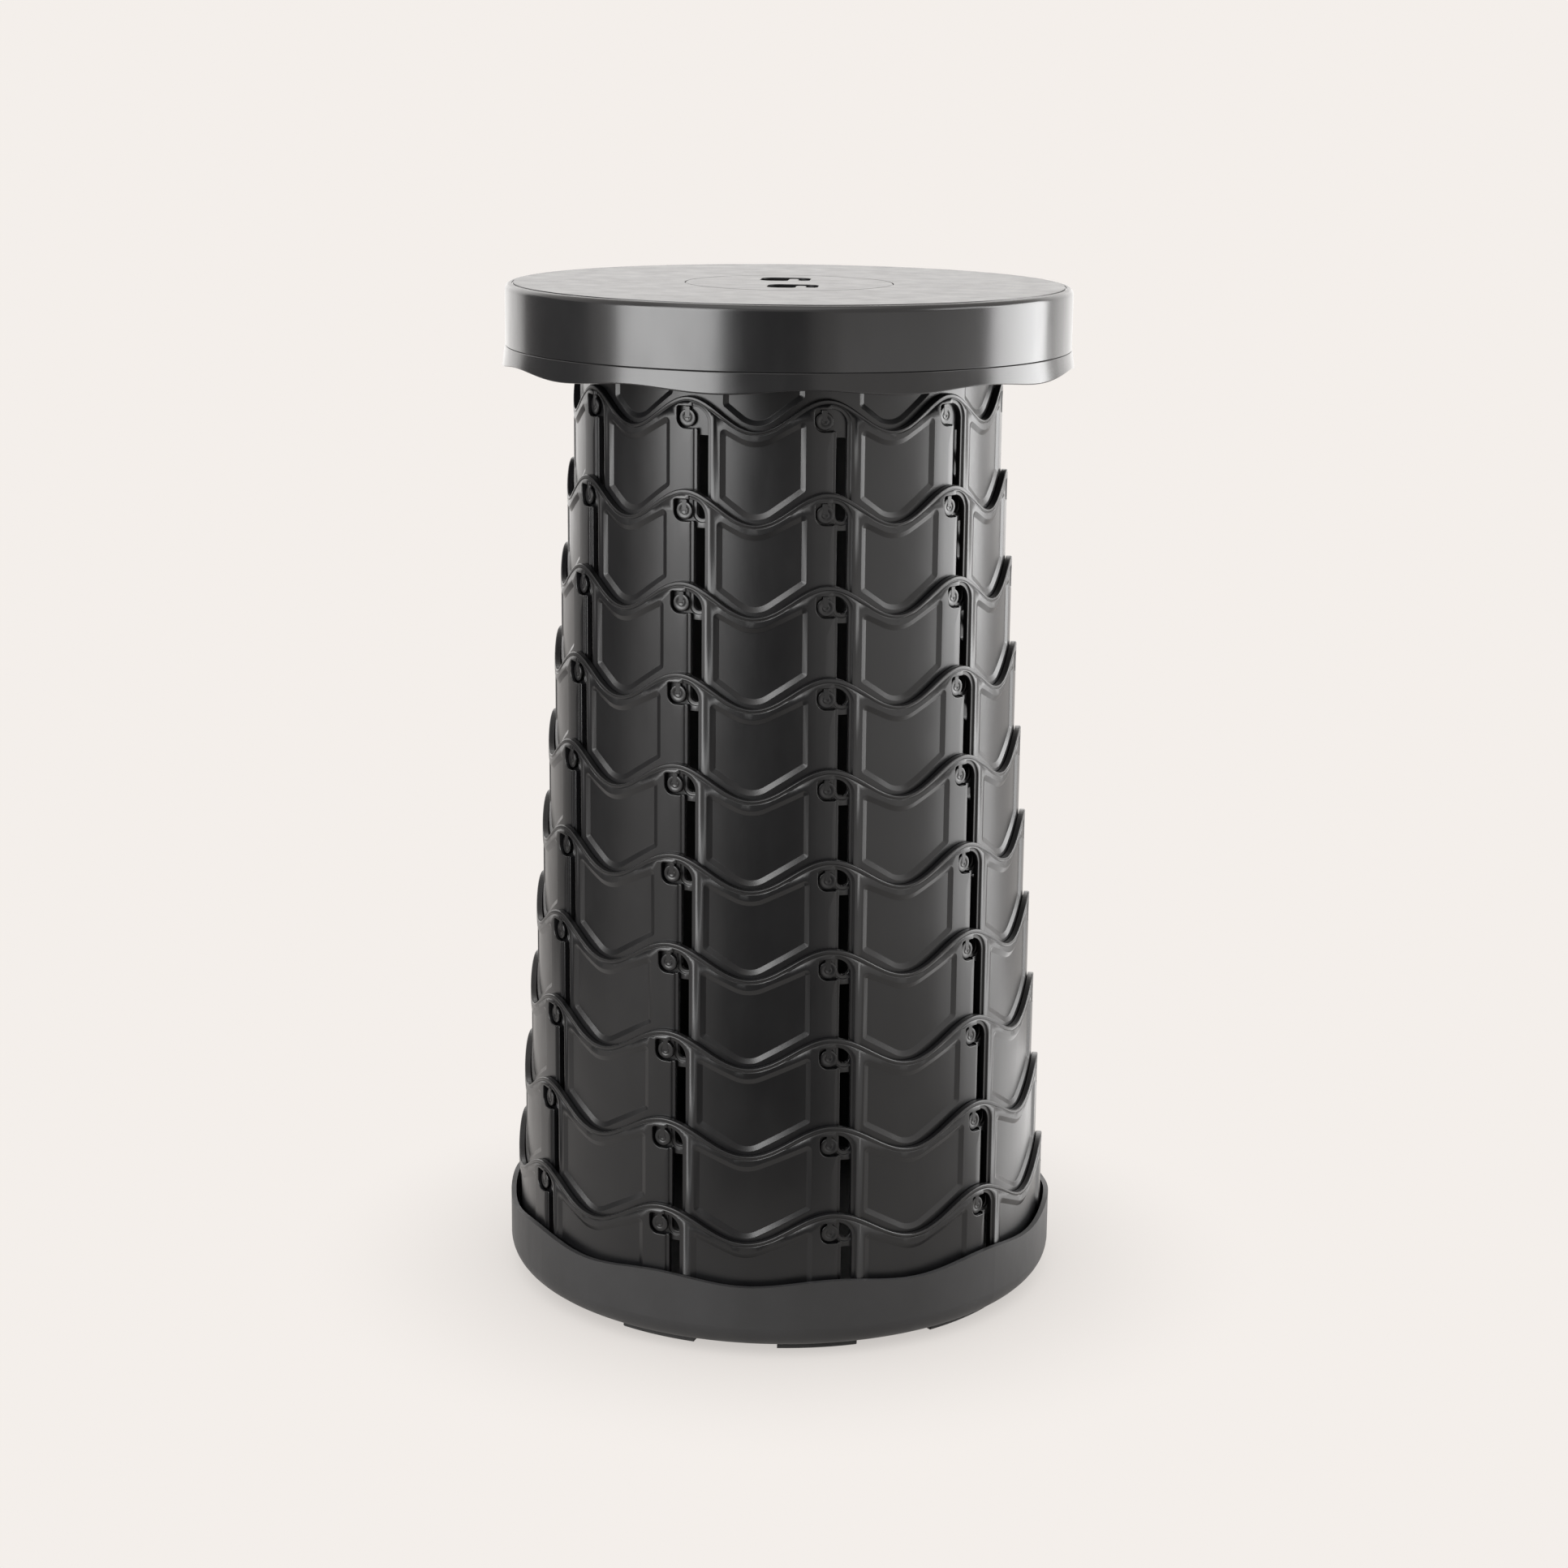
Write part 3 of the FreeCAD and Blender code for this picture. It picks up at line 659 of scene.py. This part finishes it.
    def depth(self, points):
        """How far the outside lies under the ring's radius at each point."""
        panel = distance(points, self.panel_line)
        panel = np.where(inside(points, self.panel_line), panel, -panel)
        depth = PANEL_DEPTH * bevel(panel / PANEL_BEVEL)
        if self.number == 0:
            return depth
        track = distance(points, self.track_line)
        track = np.where(inside(points, self.track_line), track, -track)
        ledge = TRACK_DEPTH * smooth((track + STEP_ROUND / 2) / STEP_ROUND)
        hole = distance(points, self.hole_line)
        edge = shoulder(np.where(inside(points, self.hole_line), -hole, hole), HOLE_ROUND)
        drop = distance(points, self.wave_points(0.0, WAVE_SPILL), False)
        drop = np.where(points[:, 1] > self.wave(points[:, 0]), -drop, drop)
        top = shoulder(drop, EDGE_ROUND)
        groove = GROOVE_DEPTH * np.clip(1 - np.abs(drop - GROOVE_DROP) / GROOVE_HALF, 0, 1)
        return np.maximum.reduce([depth, ledge, top, groove]) + edge


def triangulated(loops, lines, singles, keep):
    """Flat triangles of an area from closed outlines, open lines and single points."""
    points, edges = [], []
    for loop in loops:
        first, count = len(points), len(loop)
        points += [tuple(p) for p in loop]
        edges += [(first + i, first + (i + 1) % count) for i in range(count)]
    for line in lines:
        first = len(points)
        points += [tuple(p) for p in line]
        edges += [(first + i, first + i + 1) for i in range(len(line) - 1)]
    points += [tuple(p) for p in singles]
    made = delaunay_2d_cdt([Vector(p) for p in points], edges, [], 0, SAME_POINT, False)
    flat = np.array([v[:] for v in made[0]])
    faces = np.array(made[2])
    return flat, faces[keep(flat[faces].mean(axis=1))]


class Shell:
    """Vertices, normals and faces gathered in millimetres."""

    def __init__(self):
        self.points, self.normals, self.faces = [], [], []
        self.count = 0

    def add(self, points, normals, faces):
        """Adds a piece of mesh whose faces count from its own first vertex."""
        self.points.append(np.asarray(points, float))
        self.normals.append(np.asarray(normals, float))
        self.faces += [tuple(int(i) + self.count for i in face) for face in faces]
        self.count += len(points)

    def make(self, name, material, slot, body, node):
        """Makes the object, which rides on a body and stands for a CAD node."""
        points, normals = np.vstack(self.points), np.vstack(self.normals)
        obj = mesh_object(name, (points * MM).tolist(), self.faces)
        obj.data.shade_smooth()
        obj.data.normals_split_custom_set_from_vertices(normals.tolist())
        obj.data.materials.append(material)
        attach(obj, body)
        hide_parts(node)


def turn_skin(shell, corners, spokes, wave=None, span=(0.0, 1.0), flare=0.0):
    """Adds a skin turned from an anticlockwise outline of (radius, height, rounding).

    A wave of (depth, phase) moves the heights up and down, fully at a span's first height
    and not at all at its last. A flare moves the skin outwards by a share of that rise."""
    line, lean = rounded_outline(corners, with_normals=True)
    depth, phase = wave or (0.0, 0.0)
    share = np.clip((span[1] - line[:, 1]) / (span[1] - span[0]), 0.0, 1.0)
    count = len(line)
    points, normals, faces = [], [], []
    for j in range(spokes):
        turn = 2 * math.pi * j / spokes
        swing = COLUMNS * (turn - phase)
        rise = depth / 2 * math.cos(swing) * share
        slope = -depth / 2 * COLUMNS * math.sin(swing) * share / line[:, 0]
        reach = line[:, 0] + flare * rise
        sin, cos = math.sin(turn), math.cos(turn)
        points.append(np.column_stack((reach * cos, reach * sin, line[:, 1] + rise)))
        side = -lean[:, 1] * slope
        normals.append(np.column_stack((lean[:, 0] * cos - side * sin,
                                        lean[:, 0] * sin + side * cos, lean[:, 1])))
        for i in range(count):
            here, ahead = j * count, (j + 1) % spokes * count
            following = (i + 1) % count
            faces.append((here + i, ahead + i, ahead + following, here + following))
    normals = np.vstack(normals)
    shell.add(np.vstack(points), normals / np.linalg.norm(normals, axis=1)[:, None], faces)


class RingShell(Shell):
    """The whole skin of one ring, made tenth by tenth."""

    def __init__(self, ring):
        super().__init__()
        self.ring = ring

    def wrap(self, flat, drop, angle):
        """Flat points laid on the ring, a drop below its outside."""
        turn = flat[:, 0] / self.ring.radius + angle
        reach = self.ring.radius - drop
        return np.column_stack((reach * np.cos(turn), reach * np.sin(turn),
                                flat[:, 1] + self.ring.pins))

    def lean(self, flat, slope_u, slope_w, angle):
        """Outward normals of a surface that drops by slopes along u and w."""
        turn = flat[:, 0] / self.ring.radius + angle
        out = np.column_stack((np.cos(turn), np.sin(turn), np.zeros(len(turn))))
        along = np.column_stack((-np.sin(turn), np.cos(turn), np.zeros(len(turn))))
        normal = out + slope_u[:, None] * along + slope_w[:, None] * np.array((0, 0, 1.0))
        return normal / np.linalg.norm(normal, axis=1)[:, None]


def channel_depth(flat):
    """Depth of the inside guide channel."""
    side = np.abs(flat[:, 0] - PIN_OFFSET)
    deep = CHANNEL_DEPTH * smooth((CHANNEL_HALF + CHANNEL_EDGE - side) / (2 * CHANNEL_EDGE))
    return np.where(flat[:, 1] < 0.0, deep, 0.0)


def bead_height(ring, flat):
    """Height of the low bead along the inside edge of a slot."""
    reach = distance(flat, ring.hole_line)
    return BEAD_HEIGHT * smooth((BEAD_WIDTH - reach) / BEAD_EDGE)


def ring_tenth(ring):
    """Flat skins of one tenth: the outer and the inner triangles."""
    plain = ring.number == 0
    across = np.linspace(ring.left, ring.right, LEVEL_POINTS)
    bottom = np.column_stack((across, np.full(LEVEL_POINTS, ring.low)))
    top = ring.wave_line
    if plain:
        top = np.column_stack((across, np.full(LEVEL_POINTS, PIN_TO_PEAK)))
    outline = np.vstack((bottom, top[::-1]))
    sides = [np.array((bottom[0], top[0])), np.array((bottom[-1], top[-1]))]
    lines = [bottom, top] + sides
    loops = [rounded_outline(inset(ring.panel, PANEL_BEVEL * t))
             for t in (0.0, BEVEL_END, 1.0 - BEVEL_END, 1.0)]
    if not plain:
        lines += [ring.wave_points(drop) for drop in WAVE_LINES]
        loops += [ring.hole_line]
        loops += [rounded_outline(inset(ring.hole, -HOLE_ROUND * t)) for t in HOLE_LINES]
        loops += [rounded_outline(inset(ring.track, STEP_ROUND * t)) for t in TRACK_LINES]
        channel = []
        for side in (PIN_OFFSET - CHANNEL_HALF, PIN_OFFSET + CHANNEL_HALF):
            for edge in (side - CHANNEL_EDGE, side + CHANNEL_EDGE):
                channel.append(np.array(((edge, ring.low), (edge, POCKET_FLOOR + CHANNEL_TOP))))
        lines += channel

    def keep(points):
        kept = inside(points, outline)
        return kept if plain else kept & ~inside(points, ring.hole_line)

    grid = np.array([(u, w)
                     for u in np.arange(ring.left + GRID_LEFT, ring.right - GRID_RIGHT, GRID_ACROSS)
                     for w in np.arange(ring.low + GRID_LOW, PIN_TO_PEAK, GRID_UP)])
    grid = grid[keep(grid)]
    near = np.minimum.reduce([distance(grid, loop) for loop in loops]
                             + [distance(grid, line, False) for line in lines])
    outer = triangulated(loops, lines, grid[near > OUTSIDE_ROOM], keep)
    inner_lines = [bottom, top] + sides
    inner_loops = []
    if not plain:
        inner_lines += channel
        inner_loops = [ring.hole_line]
        inner_loops += [rounded_outline(inset(ring.hole, -BEAD_WIDTH + edge))
                        for edge in (BEAD_EDGE, 0.0)]
    near = np.minimum.reduce([distance(grid, line, False) for line in inner_lines]
                             + [distance(grid, loop) for loop in inner_loops])
    inner = triangulated(inner_loops, inner_lines, grid[near > INSIDE_ROOM], keep)
    return outer, inner


def open_edges(flat, faces, ring):
    """Directed edges of one triangle only, apart from those where two tenths meet."""
    seen = dict.fromkeys(edge for a, b, c in faces.tolist()
                         for edge in ((a, b), (b, c), (c, a)))
    found = []
    for a, b in seen:
        if (b, a) in seen:
            continue
        u = flat[[a, b], 0]
        if np.allclose(u, ring.left, atol=1e-3) or np.allclose(u, ring.right, atol=1e-3):
            continue
        found.append((a, b))
    return found


def build_ring(number):
    """A ring with rounded edges, bevelled panels and hooked slots, still without its pins."""
    ring = Ring(number)
    shell = RingShell(ring)
    (flat, faces), (back_flat, back_faces) = ring_tenth(ring)
    step = SLOPE_STEP
    drop = ring.depth(flat)
    slope_u = (ring.depth(flat + (step, 0)) - ring.depth(flat - (step, 0))) / (2 * step)
    slope_w = (ring.depth(flat + (0, step)) - ring.depth(flat - (0, step))) / (2 * step)
    back_drop = np.full(len(back_flat), RING_WALL)
    if number:
        back_drop = RING_WALL - channel_depth(back_flat) + bead_height(ring, back_flat)
    none = np.zeros(len(back_flat))
    keys = {tuple(np.round(p, 3)): i for i, p in enumerate(back_flat)}
    walls = []
    for a, b in open_edges(flat, faces, ring):
        c, d = keys.get(tuple(np.round(flat[b], 3))), keys.get(tuple(np.round(flat[a], 3)))
        if c is not None and d is not None:
            walls.append((b, a, d, c))
    for i in range(COLUMNS):
        angle = 2 * math.pi * i / COLUMNS
        front = shell.wrap(flat, drop, angle)
        normals = shell.lean(flat, slope_u, slope_w, angle)
        rear = shell.wrap(back_flat, back_drop, angle)
        rear_normals = -shell.lean(back_flat, none, none, angle)
        shell.add(front, normals, faces)
        shell.add(rear, rear_normals, back_faces[:, ::-1])
        for b, a, d, c in walls:
            quad = np.array((front[b], front[a], rear[d], rear[c]))
            flat_normal = np.cross(quad[1] - quad[0], quad[3] - quad[0])
            size = np.linalg.norm(flat_normal)
            if size < 1e-9:
                continue
            shell.add(quad, np.tile(flat_normal / size, (4, 1)), [(0, 1, 2, 3)])
    return shell


def pin_profile():
    """Radius and depth below the face, from the middle of a pin's face to its neck."""
    return PIN_DIMPLE + PIN_GROOVE + [
        (PIN_RADIUS - PIN_EDGE, 0.0),
        (PIN_RADIUS - PIN_CHAMFER, PIN_CHAMFER),
        (PIN_RADIUS, PIN_EDGE),
        (PIN_RADIUS, PIN_HEAD),
        (PIN_NECK, PIN_HEAD),
        (PIN_NECK, PIN_STAND + PIN_ROOT),
    ]


def profile_normals(profile):
    """Normals of an open profile of (radius, depth) pairs, as (outward, forward) pairs."""
    line = np.array(profile)
    legs = np.diff(line, axis=0)
    square = np.column_stack((legs[:, 1], legs[:, 0]))
    square /= np.linalg.norm(square, axis=1)[:, None]
    mean = np.vstack((square[:1], square[:-1] + square[1:], square[-1:]))
    return mean / np.linalg.norm(mean, axis=1)[:, None]


def loop_faces(first, count, loops):
    """Quads between loops of vertices that follow each other."""
    faces = []
    for i in range(loops - 1):
        for j in range(count):
            a, b = first + i * count + j, first + i * count + (j + 1) % count
            faces.append((a, a + count, b + count, b))
    return faces


def add_pins(shell, ring):
    """Headed pins with their tabs, ten around the ring."""
    outside = FIRST_RADIUS + (ring.number + 1) * RING_STEP
    face = ring.radius + PIN_STAND
    height = ring.pins - RING_SPACING
    profile = pin_profile()
    points, lean = [], []
    for (radius, depth), (out, forward) in zip(profile, profile_normals(profile)):
        for j in range(PIN_SPOKES):
            turn = 2 * math.pi * j / PIN_SPOKES
            points.append((face - depth, radius * math.cos(turn), radius * math.sin(turn)))
            lean.append((forward, out * math.cos(turn), out * math.sin(turn)))
    faces = loop_faces(0, PIN_SPOKES, len(profile))
    half, rise = TAB_WIDTH / 2, PIN_RADIUS + TAB_RISE
    tab = [(a, b, TAB_ROUND) for a, b in ((-half, 0.0), (half, 0.0), (half, rise), (-half, rise))]
    levels = ((-TAB_PROUD, TAB_EDGE, 1.0), (TAB_EDGE - TAB_PROUD, 0.0, 0.4), (PIN_HEAD, 0.0, 0.0))
    first = len(points)
    for depth, shrink, forward in levels:
        line = rounded_outline([(a, b, TAB_ROUND - shrink) for a, b, _ in inset(tab, shrink)])
        ahead = np.roll(line, -1, axis=0) - np.roll(line, 1, axis=0)
        side = np.column_stack((ahead[:, 1], -ahead[:, 0]))
        side /= np.linalg.norm(side, axis=1)[:, None]
        size = math.hypot(1.0 - forward, forward)
        for (a, b), (c, d) in zip(line, side):
            points.append((face - depth, a, b))
            lean.append((forward / size, c * (1 - forward) / size, d * (1 - forward) / size))
    count = len(line)
    faces.append(tuple(first + j for j in range(count)))
    faces += loop_faces(first, count, len(levels))
    points, lean = np.array(points), np.array(lean)
    for i in range(COLUMNS):
        angle = PIN_OFFSET / outside + 2 * math.pi * i / COLUMNS
        turn = np.array(((math.cos(angle), math.sin(angle), 0),
                         (-math.sin(angle), math.cos(angle), 0), (0, 0, 1)))
        shell.add(points @ turn + (0, 0, height), lean @ turn, faces)


def seat_outline():
    """The seat: ledge for the cap, screw band, skirt, grooved border and flat top."""
    groove = SKIRT_OUTER - BORDER_ROUND - BORDER_GROOVE
    groove_low = BORDER_LOW - BORDER_GROOVE
    return [
        (LEDGE_INNER, LEDGE_LOW, STEP_CORNER),
        (LEDGE_OUTER, LEDGE_LOW, STEP_CORNER),
        (LEDGE_OUTER, SEAT_UNDERSIDE, STEP_CORNER),
        (BAND_INNER, SEAT_UNDERSIDE, STEP_CORNER),
        (BAND_INNER, BAND_LOW, STEP_CORNER),
        (BAND_OUTER, BAND_LOW, STEP_CORNER),
        (BAND_OUTER, SEAT_UNDERSIDE, STEP_CORNER),
        (SKIRT_INNER, SEAT_UNDERSIDE, SHELL_CORNER),
        (SKIRT_INNER, RIM_TOP, STEP_CORNER),
        (SKIRT_OUTER, RIM_TOP, SEAM_ROUND),
        (SKIRT_OUTER, BORDER_LOW, BORDER_ROUND),
        (groove + GROOVE_SIDE, BORDER_LOW, GROOVE_SIDE),
        (groove, groove_low, GROOVE_ROUND),
        (groove - BORDER_GROOVE, groove_low, GROOVE_ROUND),
        (groove - BORDER_GROOVE - GROOVE_FLARE, SEAT_TOP, GROOVE_SIDE),
        (CAP_RADIUS + CAP_GAP, SEAT_TOP, STEP_CORNER),
        (CAP_RADIUS + CAP_GAP, SEAT_TOP - CAP_DEPTH, FINE_CORNER),
        (LEDGE_INNER, SEAT_TOP - CAP_DEPTH, STEP_CORNER),
    ]


def rim_outline():
    """The trim ring below the skirt."""
    return [
        (MOUTH - RIM_WALL, RIM_EDGE, SHELL_CORNER),
        (MOUTH, RIM_EDGE, MOUTH_CORNER),
        (SKIRT_OUTER + RIM_STEP, RIM_TOP, SEAM_ROUND),
        (SKIRT_INNER, RIM_TOP, FINE_CORNER),
        (MOUTH - RIM_WALL, (RIM_EDGE + RIM_TOP) / 2, SHELL_CORNER),
    ]


def light_studio():
    """Dark sheets seen only in reflections, which paint the front of the rings dark, and the lamps.
    """
    # Painted dark reflections: faintly glowing sheets that only reflections see
    painted_reflection_sheet("front_floor_reflection_sheet", first=-24, last=24, profile=[(0.30, SHEET_LIFT), SHEET_END])
    painted_reflection_sheet("front_standing_reflection_sheet", first=-24, last=13, profile=[SHEET_END, SHEET_TOP])
    painted_reflection_sheet("left_reflection_sheet", first=-125, last=-78,
              profile=[(0.55, SHEET_LIFT), SHEET_END, SHEET_TOP])
    area_light("left_box", azimuth=-42, elevation=0, distance=1.1, size=(0.84, 0.66),
               power=15.8, target=(0, 0, 0.57))
    area_light("left_top", azimuth=-36, elevation=0, distance=1.1, size=(0.60, 0.30),
               power=3.6, target=(0, 0, 1.07))
    area_light("right_box", azimuth=101, elevation=0, distance=0.57, size=(0.36, 0.42),
               power=4.1, target=(0, 0, 0.43))
    area_light("right_low", azimuth=99, elevation=0, distance=0.57, size=(0.38, 0.22),
               power=1.15, target=(0, 0, 0.11))
    area_light("right_top", azimuth=75, elevation=0, distance=0.8, size=(0.40, 0.32),
               power=1.5, target=(0, 0, 0.76))
    area_light("right_glow", azimuth=0, elevation=-90, distance=0.3, size=(0.30, 0.30),
               power=0.5, target=(0.34, 0.12, 0.302))
    area_light("right_panel", azimuth=50, elevation=0, distance=0.75, size=(0.80, 0.40),
               power=0.55, target=(0, 0, 0.21))
    area_light("backdrop", azimuth=-175, elevation=0, distance=1.6, size=(3.8, 1.5),
               power=18, target=(0, 0, 0.80))
    area_light("overhead", azimuth=-20, elevation=75, distance=1.5, size=(1.2, 1.2),
               power=4, target=(0, 0, 0.23))


def build_pieces(seat_finish, ring_finish):
    """The eleven rings, the seat's shell and its trim ring."""
    bodies = ["seat"] + ["stage_%02d" % number for number in range(1, LAST_RING)] + ["base"]
    for number, body in enumerate(bodies):
        shell = build_ring(number)
        if number < LAST_RING:
            add_pins(shell, shell.ring)
        node = "ring_%02d" % number
        shell.make(node + "_skin", ring_finish, "ring_plastic", body, node)
    shell = Shell()
    turn_skin(shell, seat_outline(), SEAT_SPOKES)
    shell.make("seat_skin", seat_finish, "seat_plastic", "seat", "seat_cover")
    shell = Shell()
    flare = -(MOUTH - SKIRT_OUTER - RIM_STEP) / (RIM_TOP - RIM_EDGE)
    turn_skin(shell, rim_outline(), RIM_SPOKES, (RIM_WAVE, math.radians(RIM_PHASE)),
              (RIM_EDGE, RIM_TOP), flare)
    shell.make("rim_skin", seat_finish, "rim_plastic", "seat", "seat_rim")


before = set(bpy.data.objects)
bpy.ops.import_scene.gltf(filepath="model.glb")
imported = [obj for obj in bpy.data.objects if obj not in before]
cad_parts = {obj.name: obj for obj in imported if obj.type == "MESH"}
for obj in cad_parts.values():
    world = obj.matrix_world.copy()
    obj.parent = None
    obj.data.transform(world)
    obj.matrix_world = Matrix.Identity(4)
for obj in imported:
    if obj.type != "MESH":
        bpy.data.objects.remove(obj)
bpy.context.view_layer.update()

make_camera()
make_world()
make_floor()
light_studio()

seat_plastic = seat_surface("seat_finish", (0.007, 0.007, 0.0075), (0.010, 0.010, 0.0105), 0.5)
ring_plastic = plastic("ring_finish", (0.0035, 0.0035, 0.004), (0.006, 0.006, 0.0065),
                       roughness=(0.28, 0.34), grain=2500.0, relief=0.00001, level=0.42)
base_plastic = plastic("base_finish", (0.019, 0.019, 0.0195), (0.026, 0.026, 0.027),
                       roughness=(0.48, 0.56), grain=2500.0, relief=0.00002, level=0.45)
foot_rubber = plastic("foot_finish", (0.016, 0.016, 0.016), (0.026, 0.026, 0.026),
                      roughness=(0.60, 0.75), grain=1500.0, relief=0.00005)
screw_steel = plastic("screw_finish", (0.45, 0.45, 0.46), (0.55, 0.55, 0.56),
                      roughness=(0.25, 0.40), grain=2000.0, relief=0.00001)

build_pieces(seat_plastic, ring_plastic)
dress("centre_cap", seat_plastic)
dress("base_cup", base_plastic)
dress("foot_pads", foot_rubber)
dress("seat_screws", screw_steel)
dress("base_screws", screw_steel)

bpy.context.scene.view_settings.view_transform = "Standard"
